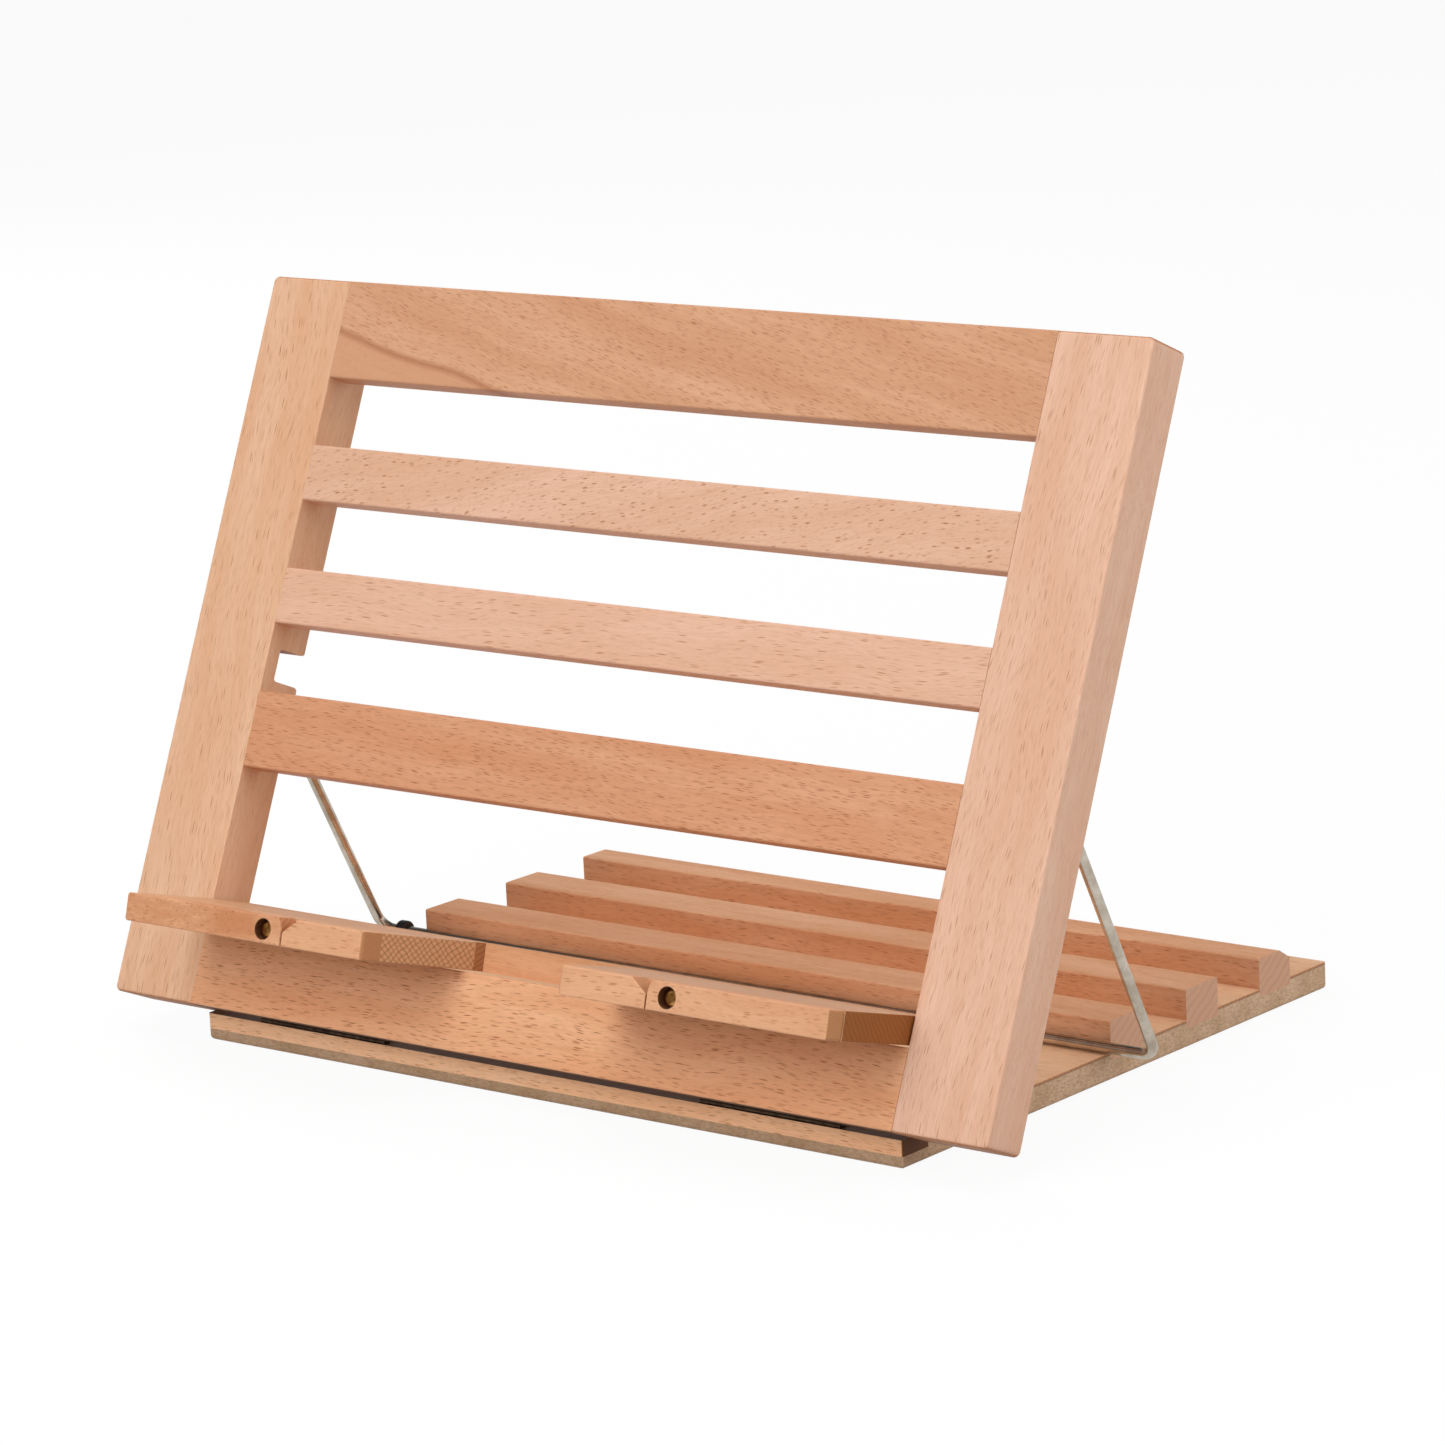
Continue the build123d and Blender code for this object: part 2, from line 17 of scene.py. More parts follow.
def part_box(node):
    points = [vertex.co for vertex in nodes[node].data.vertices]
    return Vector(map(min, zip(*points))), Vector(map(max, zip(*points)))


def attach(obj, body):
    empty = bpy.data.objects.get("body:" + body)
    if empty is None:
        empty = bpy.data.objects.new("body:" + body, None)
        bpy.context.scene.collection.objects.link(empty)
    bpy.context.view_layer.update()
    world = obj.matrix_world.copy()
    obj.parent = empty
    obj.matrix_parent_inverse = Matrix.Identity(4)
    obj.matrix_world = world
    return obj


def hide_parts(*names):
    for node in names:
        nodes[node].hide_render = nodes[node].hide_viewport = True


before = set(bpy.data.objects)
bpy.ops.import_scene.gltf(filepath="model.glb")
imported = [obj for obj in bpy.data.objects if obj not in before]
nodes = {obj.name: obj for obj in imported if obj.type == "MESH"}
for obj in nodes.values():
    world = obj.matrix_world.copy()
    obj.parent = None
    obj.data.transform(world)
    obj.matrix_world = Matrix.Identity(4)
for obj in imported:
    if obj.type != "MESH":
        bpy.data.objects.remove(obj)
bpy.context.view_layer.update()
mm = 0.001
print("pieces loaded:", len(nodes))

# %% [markdown]
# ## Camera
# The photograph was taken from the right and a little above, with a long lens, so upright
# edges stay nearly parallel. One way to match it is by eye; here the place, the three turns
# and the lens were solved from edge points of the stand, and they are only set down.

# %% Camera at the photograph's viewpoint
camera_place = Vector((1222.212, -1503.851, 539.433)) * mm
camera_yaw, camera_pitch, camera_roll = radians(39.4377), radians(-12.5258), radians(2.7493)

camera_data = bpy.data.cameras.new("photo_camera")
camera_data.sensor_fit = "HORIZONTAL"
camera_data.sensor_width = 36.0
camera_data.lens = 137.9134
camera_data.clip_start = 0.05
camera_data.clip_end = 30.0
camera = bpy.data.objects.new("photo_camera", camera_data)
bpy.context.scene.collection.objects.link(camera)
look = (Matrix.Rotation(camera_yaw, 4, "Z") @ Matrix.Rotation(camera_pitch, 4, "X")
        @ Matrix.Rotation(camera_roll, 4, "Y") @ Matrix.Rotation(pi / 2, 4, "X"))
camera.matrix_world = Matrix.Translation(camera_place) @ look
bpy.context.scene.camera = camera
print("camera stands", round(camera_place.length, 2), "m from the stand")

# %% [markdown]
# ## Helpers for materials
# A material is a tree of nodes. Every kind of node could get a function of its own, but one
# function that adds any node, sets its options and joins its inputs is enough, and then each
# line of a recipe says which node it adds. A node given as an input is joined by its first
# output in use.
# The same two nodes come back all the time. Map Range turns a value's range into another one
# and stops at both ends. Mix makes a colour between two; its sockets for colours share their
# names with others, so they are asked for by number. Together they lay one colour over another,
# as a painter glazes, and a loop does that for a whole list of layers. Another helper turns a
# colour picked on screen (sRGB hex) into the linear numbers that a shader works with.

# %% Node and colour helpers
mix_share, mix_a, mix_b = 0, 6, 7


def put(tree, kind, inputs, **options):
    """Add one node; an input is a plain value, another node or one of its outputs."""
    node = tree.nodes.new("ShaderNode" + kind)
    for option, value in options.items():
        setattr(node, option, value)
    for name, value in inputs.items():
        if isinstance(value, bpy.types.Node):
            value = next(output for output in value.outputs if output.enabled)
        if isinstance(value, bpy.types.NodeSocket):
            tree.links.new(value, node.inputs[name])
        else:
            node.inputs[name].default_value = value
    return node


def linear(hex_colour):
    """sRGB hex to linear red, green, blue and alpha."""
    parts = [int(hex_colour[i:i + 2], 16) / 255 for i in (1, 3, 5)]
    light = [p / 12.92 if p <= 0.04045 else ((p + 0.055) / 1.055) ** 2.4 for p in parts]
    return (*light, 1.0)


def new_material(name):
    """An empty material and its tree, ready for a recipe."""
    material = bpy.data.materials.new(name)
    material.use_nodes = True
    material.node_tree.nodes.clear()
    return material, material.node_tree


def layered(tree, surface, layers):
    """Lay colours over a surface: each layer is a value, where it begins and is full in that
    value, its share when full, and its colour."""
    for value, begins, full, share, colour in layers:
        layer = put(tree, "MapRange", {"Value": value, "From Min": begins, "From Max": full,
                                       "To Max": share})
        surface = put(tree, "Mix", {mix_share: layer, mix_a: surface, mix_b: linear(colour)},
                      data_type="RGBA")
    return surface


print("beech front face in linear light:", [round(v, 3) for v in linear("#E4B496")[:3]])

# %% [markdown]
# ## Sanded beech
# Beech is a pale pinkish tan, close-grained wood. What tells the eye that it is beech are the
# rays: short dark dashes, 2 to 6 mm long and about half a millimetre thick, all along the grain.
# Sawn ends look darker and show the growth lines.
# A picture of wood would slide over the edges, so the grain is solid instead: one pattern in
# object space, turned so that its X runs along the board. Cut anywhere, it shows dashes on
# the faces and lines on the ends, like the real thing. We build it from a few small helpers.

# %% Where the grain lies
in_mm = (1 / mm, 1 / mm, 1 / mm)
bend_length, bend_sway = 45.0, 7.0    # one bend of the fibre and its whole width, in mm


def grain_place(tree, turn, shift):
    """Texture coordinates, and the place in mm with X along the grain, bent like real fibre."""
    place = put(tree, "TexCoord", {})
    board = put(tree, "Mapping", {"Vector": place.outputs["Object"], "Rotation": turn,
                                  "Scale": in_mm, "Location": (shift, 0, 0)})
    wander = put(tree, "TexNoise", {"Vector": board, "Scale": 1 / bend_length, "Detail": 1.0})
    bend = put(tree, "VectorMath", {0: wander.outputs["Color"], 1: (0.5, 0.5, 0.5)},
               operation="SUBTRACT")
    bent = put(tree, "VectorMath", {0: bend, 1: (0.0, bend_sway, bend_sway), 2: board},
               operation="MULTIPLY_ADD")
    return place, bent


def board_facing(tree, place, turn):
    """Which way the surface looks, in the board's own directions."""
    facing = put(tree, "Mapping", {"Vector": place.outputs["Normal"], "Rotation": turn},
                 vector_type="VECTOR")
    return put(tree, "SeparateXYZ", {"Vector": facing})


def per_mm(size):
    """How many steps of the given length, width and depth fit in a millimetre."""
    return tuple(1 / length for length in size)


print("the grain strays", bend_sway / 2, "mm to each side at most")

# %% [markdown]
# ## The dashes
# A dash is a thin lens inside the wood. Dashes could be painted one by one, but Voronoi cells
# scatter them for us: they give one point per cell, and the distance to that point, read in
# stretched steps, is a lens about it. The cell's own random colour makes a few lenses dark and
# most of them faint, which is what keeps the pattern from looking printed. A lens fills two
# thirds of its space at most, so a space of 8.6 by 0.62 mm holds a dash of 5.7 by 0.4 mm.

# %% Dashes
lens_rim, lens_core = 0.33, 0.17    # where a lens begins and is full, in steps from its middle


def ray_dashes(tree, where, spacing, faintest):
    """Lens-shaped marks, 1 in the middle of the darkest ones."""
    steps = put(tree, "VectorMath", {0: where, 1: per_mm(spacing)}, operation="MULTIPLY")
    cells = put(tree, "TexVoronoi", {"Vector": steps, "Scale": 1.0, "Randomness": 1.0},
                feature="F1")
    lens = put(tree, "MapRange", {"Value": cells.outputs["Distance"], "From Min": lens_rim,
                                  "From Max": lens_core})
    chance = put(tree, "SeparateColor", {"Color": cells.outputs["Color"]})
    rare = put(tree, "Math", {0: chance, 1: 2.0}, operation="POWER")
    depth = put(tree, "MapRange", {"Value": rare, "To Min": faintest})
    return put(tree, "Math", {0: lens, 1: depth}, operation="MULTIPLY")


print("a dash fills up to", 2 * lens_rim, "of its space each way")

# %% [markdown]
# ## Sawn ends
# Where the surface faces along the grain it is a sawn end. There the growth rings are cut
# across and show as darker lines, and fine rays cross them, so the end gets its own tone with
# two sets of lines at a right angle. The tilt says how the rings lie in that board.
# Rings could be drawn as circles round a far centre, but on an end this small they are nearly
# straight, so wavy bands do.

# %% End grain
end_begins, end_full = 0.4, 0.7    # how squarely a face looks along the grain, from 0 to 1
line_begins = 0.65                 # the part of a band that stays plain
band_scale = 0.314                 # at a scale of 1 the bands of a Wave are this far apart


def sawn_end(tree, facing, where, end, end_line, end_tilt, end_gap, ring_depth, ray_gap,
             ray_depth):
    """Share of end grain from 0 to 1, and its colour."""
    squarely = put(tree, "Math", {0: facing.outputs["X"]}, operation="ABSOLUTE")
    share = put(tree, "MapRange", {"Value": squarely, "From Min": end_begins,
                                   "From Max": end_full})
    tilted = put(tree, "Mapping", {"Vector": where, "Rotation": (end_tilt, 0, 0)})
    colour = linear(end)
    for gap, depth, direction, waviness in ((end_gap, ring_depth, "Y", 3.5),
                                            (ray_gap, ray_depth, "Z", 3.0)):
        bands = put(tree, "TexWave", {"Vector": tilted, "Scale": band_scale / gap,
                                      "Distortion": waviness, "Detail": 2.0, "Detail Scale": 1.2},
                    wave_type="BANDS", bands_direction=direction)
        lines = put(tree, "MapRange", {"Value": bands.outputs["Fac"], "From Min": line_begins,
                                       "To Max": depth})
        colour = put(tree, "Mix", {mix_share: lines, mix_a: colour, mix_b: linear(end_line)},
                     data_type="RGBA")
    return share, colour


print("rings 1.8 mm apart are bands at a scale of", round(band_scale / 1.8, 3))

# %% [markdown]
# ## A streak and two painted shades
# The top rail has a dark mineral streak near one end, with smoother wood below it. The gap over
# the hinges is darkened as painted shade, on both of its sides: the bottom rail's lower edge and
# the front of the strip's top. The page holders' screw holes are darkened inside as painted
# shade. Thin dark pieces laid on the wood could stand for all three, but a mark has no
# thickness, so each is a change of colour in the recipe. The marks are places in the wood, so
# they are measured across the grain, by the way the face looks, by the depth in the stand, or
# by the distance from a screw's axis.

# %% Mineral streak
streak_height = 171.4
streak_core, streak_edge, streak_share = 0.2, 2.2, 0.6    # half widths in mm, and how dark
calm_fade, calm_share = 1.0, 0.75                         # the same for the wood below it


def mineral_streak(tree, where, height, wood, smooth, dark):
    """A dark line along the grain at a height in mm, with plain wood below it."""
    across = put(tree, "SeparateXYZ", {"Vector": where}).outputs["Y"]
    below = put(tree, "MapRange", {"Value": across, "From Min": height - calm_fade,
                                   "From Max": height + calm_fade, "To Min": calm_share,
                                   "To Max": 0.0})
    calm = put(tree, "Mix", {mix_share: below, mix_a: wood, mix_b: smooth}, data_type="RGBA")
    offset = put(tree, "Math", {0: across, 1: height}, operation="SUBTRACT")
    distance = put(tree, "Math", {0: offset}, operation="ABSOLUTE")
    line = put(tree, "MapRange", {"Value": distance, "From Min": streak_core,
                                  "From Max": streak_edge, "To Min": streak_share,
                                  "To Max": 0.0})
    return put(tree, "Mix", {mix_share: line, mix_a: calm, mix_b: dark}, data_type="RGBA")


print("mineral streak at", streak_height, "mm up the leaning frame")

# %% Painted shade in the hinge gap
# Painted shade: this dark colour stands in for the shadow in the hinge gap.
gap_shade_colour, gap_shade_fade = "#2A1408", 3.0    # its colour, and mm over which it fades
# The axis along which a face with painted shade looks, and how squarely where it begins and is
# full.
gap_shade_ways = {"lower edge": ("Y", -0.7, -0.9), "top": ("Z", 0.7, 0.9)}


def painted_gap_shade(tree, facing, where, wood, share, side, reach):
    """Painted gap shade on the lower edge or the top; reach is how far back it goes, in mm along
    Y.
    """
    way, begins, full = gap_shade_ways[side]
    gap_shade_share = put(tree, "MapRange", {"Value": facing.outputs[way], "From Min": begins,
                                  "From Max": full, "To Max": share})
    if reach is not None:
        back = put(tree, "SeparateXYZ", {"Vector": where})
        near = put(tree, "MapRange", {"Value": back.outputs["Y"], "From Min": reach - gap_shade_fade,
                                      "From Max": reach, "To Min": 1.0, "To Max": 0.0})
        gap_shade_share = put(tree, "Math", {0: gap_shade_share, 1: near}, operation="MULTIPLY")
    return put(tree, "Mix", {mix_share: gap_shade_share, mix_a: wood, mix_b: linear(gap_shade_colour)},
               data_type="RGBA")


# The colour of the painted shade in the hinge gap.
print("scorched wood in linear light:", [round(v, 3) for v in linear(gap_shade_colour)[:3]])

# %% Painted shade in the screw holes
# Painted shade: this dark colour stands in for the shadow inside the page holders' screw holes.
bore_shade_colour, bore_shade_share, bore_shade_fade = "#4A240C", 0.85, 0.15    # colour, how dark, fade in mm
holder_screw_x = 91.2


def painted_bore_shade(tree, place, turn, wood, screw_height, radius):
    """Painted shade on both screw holes' walls, up to a radius in mm round each screw's axis."""
    untipped = put(tree, "Mapping", {"Vector": place.outputs["Object"], "Scale": in_mm,
                                     "Rotation": (turn[0], 0, 0)})
    spot = put(tree, "SeparateXYZ", {"Vector": untipped})
    side = put(tree, "Math", {0: spot.outputs["X"]}, operation="ABSOLUTE")
    flat = put(tree, "CombineXYZ", {"X": side, "Z": spot.outputs["Z"]})
    distance = put(tree, "VectorMath", {0: flat, 1: (holder_screw_x, 0, screw_height)},
                   operation="DISTANCE")
    inside = put(tree, "MapRange", {"Value": distance, "From Min": radius,
                                    "From Max": radius - bore_shade_fade, "To Max": bore_shade_share})
    return put(tree, "Mix", {mix_share: inside, mix_a: wood, mix_b: linear(bore_shade_colour)},
               data_type="RGBA")


print("screw holes at", holder_screw_x, "mm to each side")

# %% [markdown]
# ## The whole beech recipe
# From the broad to the fine: a tone that drifts slowly along the board, long faint streaks, fine
# fibre, then two sizes of dashes, then the sawn ends. One noise with much detail would be
# shorter, but each of these has its own size in the real wood, so each has its own noise. Sanded
# and matt-oiled wood has the usual IOR of 1.5 and a roughness near 0.5. Its pores are a few
# hundredths of a millimetre deep, and the bump says just that.

# %% Beech recipe
# Length, width and depth in mm of each layer's own grain.
drift_size, streak_size, fibre_size = (120, 12, 12), (55, 1.6, 1.6), (9, 0.5, 0.5)
# The small dashes: size and depth next to the large ones', and their faintest.
small_dash_size, small_dash_depth, small_dash_faintest = 0.55, 0.35, 0.1
pore_depth = 0.04 * mm


def sanded_beech(name, turn=(0, 0, 0), pale="#E9BD9D", deep="#E0A67E", dash="#A9693C",
                 spacing=(12.0, 1.1, 1.4), faintest=0.3, dash_depth=0.75, dashed_face="Z",
                 plain_share=0.25, end="#C98B62", end_line="#A0643C", end_tilt=radians(50),
                 end_gap=1.8, ring_depth=0.6, ray_gap=0.9, ray_depth=0.25, sheen=(0.46, 0.62),
                 streak=None, scorched=None, bore_shade=None, shift=0.0):
    """Solid beech whose grain runs along its own X after the turn; sizes are in mm."""
    material, tree = new_material(name)
    place, where = grain_place(tree, turn, shift)
    facing = board_facing(tree, place, turn)
    noises = []
    for size, detail, roughness in ((drift_size, 3.0, 0.55), (streak_size, 2.0, 0.5),
                                    (fibre_size, 2.0, 0.5)):
        steps = put(tree, "VectorMath", {0: where, 1: per_mm(size)}, operation="MULTIPLY")
        noises.append(put(tree, "TexNoise", {"Vector": steps, "Scale": 1.0, "Detail": detail,
                                             "Roughness": roughness}))
    drift, streaks, fibre = noises
    surface = layered(tree, linear(pale), ((drift, 0.34, 0.66, 1.0, deep),
                                           (streaks, 0.42, 0.75, 0.6, deep),
                                           (fibre, 0.45, 0.75, 0.2, dash)))

    large = ray_dashes(tree, where, spacing, faintest)
    small = ray_dashes(tree, where, [small_dash_size * length for length in spacing],
                       small_dash_faintest)
    squarely = put(tree, "Math", {0: facing.outputs[dashed_face]}, operation="ABSOLUTE")
    face_depth = put(tree, "MapRange", {"Value": squarely, "From Min": 0.5, "From Max": 0.85,
                                        "To Min": plain_share * dash_depth,
                                        "To Max": dash_depth})
    for dashes, depth in ((small, small_dash_depth * dash_depth), (large, face_depth)):
        darkened = put(tree, "Math", {0: dashes, 1: depth}, operation="MULTIPLY")
        surface = put(tree, "Mix", {mix_share: darkened, mix_a: surface, mix_b: linear(dash)},
                      data_type="RGBA")

    if streak is not None:
        surface = mineral_streak(tree, where, streak, surface, linear(deep), linear(dash))
    if scorched is not None:
        surface = painted_gap_shade(tree, facing, where, surface, **scorched)
    end_share, end_colour = sawn_end(tree, facing, where, end, end_line, end_tilt, end_gap,
                                     ring_depth, ray_gap, ray_depth)
    surface = put(tree, "Mix", {mix_share: end_share, mix_a: surface, mix_b: end_colour},
                  data_type="RGBA")
    if bore_shade is not None:
        surface = painted_bore_shade(tree, place, turn, surface, **bore_shade)

    smoothest, roughest = sheen
    matt = put(tree, "MapRange", {"Value": fibre, "From Min": 0.3, "From Max": 0.7,
                                  "To Min": smoothest, "To Max": roughest})
    sunk = put(tree, "Math", {0: large, 1: -1.0, 2: fibre}, operation="MULTIPLY_ADD")
    bump = put(tree, "Bump", {"Height": sunk, "Strength": 0.5, "Distance": pore_depth})
    wood = put(tree, "BsdfPrincipled", {"Base Color": surface, "Roughness": matt, "Normal": bump,
                                        "Specular IOR Level": 0.3, "IOR": 1.5})
    put(tree, "OutputMaterial", {"Surface": wood})
    return material


print("fibre size in mm:", fibre_size)

# %% [markdown]
# ## Which way each board's grain runs
# The frame leans back and the ledge tips, so their patterns are turned back by the same
# angles before the grain is laid along them. The side posts also need a quarter turn, because
# their grain runs up the slope. No board is sawn quite straight along its grain, so each gets
# a small slant.
# One material could serve every board, but then the stand would look cut from one block. Each
# board comes from a different place in the tree: its own tone, its own dashes and its own part
# of the pattern.

# %% Directions of the grain
lean = radians(66.4)
ledge_tip = radians(-16.1)


def across_frame(slant):
    """Grain from post to post."""
    return (-lean, 0, radians(slant))


def up_frame(slant):
    """Grain up the slope."""
    return (-lean, 0, radians(slant - 90))


def across_ledge(slant):
    """Grain along the ledge."""
    return (-ledge_tip, 0, radians(slant))


print("the left post's grain is turned by", [round(v, 2) for v in up_frame(-2)])

# %% [markdown]
# ## Frame boards
# In the photograph the two posts are the palest boards of the frame, with long thin dashes. The
# slats are pinker, with short scattered ones, and the rails are more orange, with dense fine
# ones. Their shapes could be copied and the copies painted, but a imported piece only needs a
# material in its slots.

# %% Frame boards
def finish(material, *names):
    """Give CAD pieces a material through their slots; their meshes are not touched."""
    for name in names:
        for slot in nodes[name].material_slots:
            slot.material = material
    print(material.name, "on", *names)


finish(sanded_beech("beech_left_post", up_frame(-2), pale="#E9BE9D", deep="#E0AD88",
                    dash="#AE6C42", spacing=(10.0, 0.66, 1.2), faintest=0.2, dash_depth=0.85,
                    shift=120.0), "left_stile")
finish(sanded_beech("beech_right_post", up_frame(3), pale="#EBC2A8", deep="#E2B194",
                    dash="#B27450", spacing=(8.6, 0.62, 1.2), faintest=0.3, dash_depth=0.8,
                    shift=940.0), "right_stile")
finish(sanded_beech("beech_top_rail", across_frame(13), pale="#DCA986", deep="#D09975",
                    dash="#A2623A", spacing=(5.4, 0.58, 0.9), faintest=0.5, dash_depth=0.8,
                    streak=streak_height, shift=3350.0), "top_rail")
finish(sanded_beech("beech_upper_slat", across_frame(-13), pale="#E7BCA2", deep="#DFAF91",
                    dash="#AC6C42", spacing=(4.4, 0.95, 1.2), faintest=0.15, dash_depth=1.0,
                    shift=2890.0), "upper_slat")
finish(sanded_beech("beech_lower_slat", across_frame(-2), pale="#E9BCA2", deep="#E2B194",
                    dash="#B4784F", spacing=(8.6, 0.62, 1.1), faintest=0.2, dash_depth=1.0,
                    shift=2210.0), "lower_slat")
finish(sanded_beech("beech_mid_rail", across_frame(2), pale="#DDA480", deep="#D2946D",
                    dash="#A05C32", spacing=(6.6, 0.60, 1.0), faintest=0.5, dash_depth=0.95,
                    shift=1530.0), "mid_rail")
# The bottom rail's lower edge gets the painted shade of the hinge gap.
finish(sanded_beech("beech_bottom_rail", across_frame(0), pale="#EFB88E", deep="#E5A57A",
                    dash="#A45C2C", spacing=(7.4, 0.66, 1.0), faintest=0.5, dash_depth=1.0,
                    scorched={"share": 0.9, "side": "lower edge", "reach": None}, shift=310.0),
       "bottom_rail", "rail_dowels")

# %% [markdown]
# ## Ledge boards
# The ledge is seen nearly edge on, so its boards are known by their sawn ends: crossed lines on
# the left shelf, dark rings on the right one. The lip blocks and the page holders turn their
# flat faces to the front, so that is where their dashes are strongest.

# %% Ledge boards
# Where the page holders get the painted shade of their screw holes.
holder_bore_shade = {"screw_height": 10.62, "radius": 3.9}
finish(sanded_beech("beech_spine", across_ledge(0), pale="#E3AB82", deep="#D4986C",
                    dash="#9C562A", spacing=(8.0, 0.8, 1.0), dash_depth=0.9, end="#A86F47",
                    end_line="#7C4A28", shift=3900.0), "ledge_spine")
finish(sanded_beech("beech_left_shelf", across_ledge(2), pale="#DFAE88", deep="#D59F78",
                    end="#CE986E", end_line="#8E5A34", ring_depth=0.55, ray_gap=1.8,
                    ray_depth=0.55, sheen=(0.42, 0.55), shift=4100.0), "left_shelf")
finish(sanded_beech("beech_right_shelf", across_ledge(-2), pale="#D8AA86", deep="#CE9B76",
                    end="#945828", end_line="#6E3C1A", end_gap=1.9, ring_depth=0.5,
                    end_tilt=radians(-40), sheen=(0.42, 0.55), shift=4350.0), "right_shelf")
finish(sanded_beech("beech_lip", across_ledge(1), pale="#E9B28A", deep="#DFA57C", dash="#B4743E",
                    spacing=(6.6, 0.72, 1.0), faintest=0.4, dashed_face="Y", end="#B47C54",
                    ring_depth=0.15, ray_depth=0.1, shift=4700.0),
       "left_lip_block", "right_lip_block")
finish(sanded_beech("beech_left_holder", across_ledge(14), pale="#EDB990", deep="#CD8A60",
                    dash="#A8683A", spacing=(6.6, 0.72, 1.0), faintest=0.4, dashed_face="Y",
                    bore_shade=holder_bore_shade, shift=5050.0), "left_page_holder")
finish(sanded_beech("beech_right_holder", across_ledge(-3), pale="#E6B088", deep="#DCA179",
                    dash="#B0703E", spacing=(6.6, 0.72, 1.0), faintest=0.4, dashed_face="Y",
                    end="#B98459", ring_depth=0.2, ray_depth=0.1, bore_shade=holder_bore_shade,
                    shift=5150.0), "right_page_holder")

# %% [markdown]
# ## Base boards
# The three rack bars were cut from one length of wood, so one recipe does for all of them, each
# with its own part of the pattern. The strip for the hinges lies in the frame's shade and still
# looks light in the photograph, so its own tone is the palest. The veneer is smooth, with few
# dashes.

# %% Base boards
bar_places = {"rack_bar_front": 5300.0, "rack_bar_middle": 5480.0, "rack_bar_rear": 5660.0}
for bar, shift in bar_places.items():
    finish(sanded_beech("beech_" + bar, pale="#E2AE89", deep="#D4976D", dash="#9C5628",
                        spacing=(6.5, 2.2, 0.62), faintest=0.35, dash_depth=0.85,
                        dashed_face="Y", plain_share=0.12, end="#D9A98A", end_line="#B98765",
                        end_gap=3.4, end_tilt=radians(55), ring_depth=0.35, shift=shift), bar)
# The front of the strip's top gets the painted shade of the hinge gap.
finish(sanded_beech("beech_base_strip", pale="#FCC99F", deep="#F4B98C", dash="#B06A36",
                    spacing=(7.0, 1.1, 0.72), faintest=0.35, dash_depth=0.9, dashed_face="Y",
                    end="#6E4018", end_line="#54300E",
                    scorched={"share": 0.9, "side": "top", "reach": -117.0}, shift=5900.0),
       "hinge_strip")
finish(sanded_beech("beech_veneer", pale="#ECC29C", deep="#E2B089", spacing=(10.0, 1.4, 1.4),
                    dash_depth=0.45, shift=6500.0), "top_veneer")

# %% [markdown]
# ## Fibreboard core of the base
# Under the veneer the base is pressed fibreboard: greyish tan and mottled, with darker specks.
# Its sawn edge shows a thin dark glue line under the veneer. It could be one flat grey brown,
# but the edge is seen close in the photograph, so it gets layers: broad patches, fine pulp,
# sparse specks, the glue line by its height in the board, and last painted shade on the faces
# that look to the front. The board is raw, so its roughness is high and it gives no sheen.

# %% Fibreboard
pulp_size, speck_size, patch_size = (1.6, 1.6, 0.6), (2.6, 2.6, 1.5), 12.0
pulp_depth = 0.08 * mm


def pressed_fibreboard(name, top):
    """Core board whose upper face is at the given height in mm."""
    material, tree = new_material(name)
    place = put(tree, "TexCoord", {})
    board = put(tree, "Mapping", {"Vector": place.outputs["Object"], "Scale": in_mm})
    pulp_steps = put(tree, "VectorMath", {0: board, 1: per_mm(pulp_size)}, operation="MULTIPLY")
    pulp = put(tree, "TexNoise", {"Vector": pulp_steps, "Scale": 1.0, "Detail": 4.0,
                                  "Roughness": 0.7})
    patches = put(tree, "TexNoise", {"Vector": board, "Scale": 1 / patch_size, "Detail": 3.0})
    speck_steps = put(tree, "VectorMath", {0: board, 1: per_mm(speck_size)},
                      operation="MULTIPLY")
    specks = put(tree, "TexVoronoi", {"Vector": speck_steps, "Scale": 1.0})
    height = put(tree, "SeparateXYZ", {"Vector": board}).outputs["Z"]
    front = put(tree, "SeparateXYZ", {"Vector": place.outputs["Normal"]}).outputs["Y"]
    surface = layered(tree, linear("#E6C3A3"), (
        (patches, 0.35, 0.65, 1.0, "#D2AE8C"),
        (pulp, 0.42, 0.75, 0.8, "#97734F"),
        (specks, 0.2, 0.08, 0.5, "#7A573A"),
        (height, top - 0.5, top - 0.15, 0.75, "#6B4528"),
        # Painted shade: the faces that look to the front are darker.
        (front, -0.8, -0.95, 0.4, "#7E5C3C")))
    bump = put(tree, "Bump", {"Height": pulp, "Strength": 0.4, "Distance": pulp_depth})
    core = put(tree, "BsdfPrincipled", {"Base Color": surface, "Roughness": 0.8,
                                        "Normal": bump})
    put(tree, "OutputMaterial", {"Surface": core})
    return material


core_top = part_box("base_board")[1][2] / mm
finish(pressed_fibreboard("fibreboard_core", core_top), "base_board")
print("fibreboard top at mm:", round(core_top, 2))
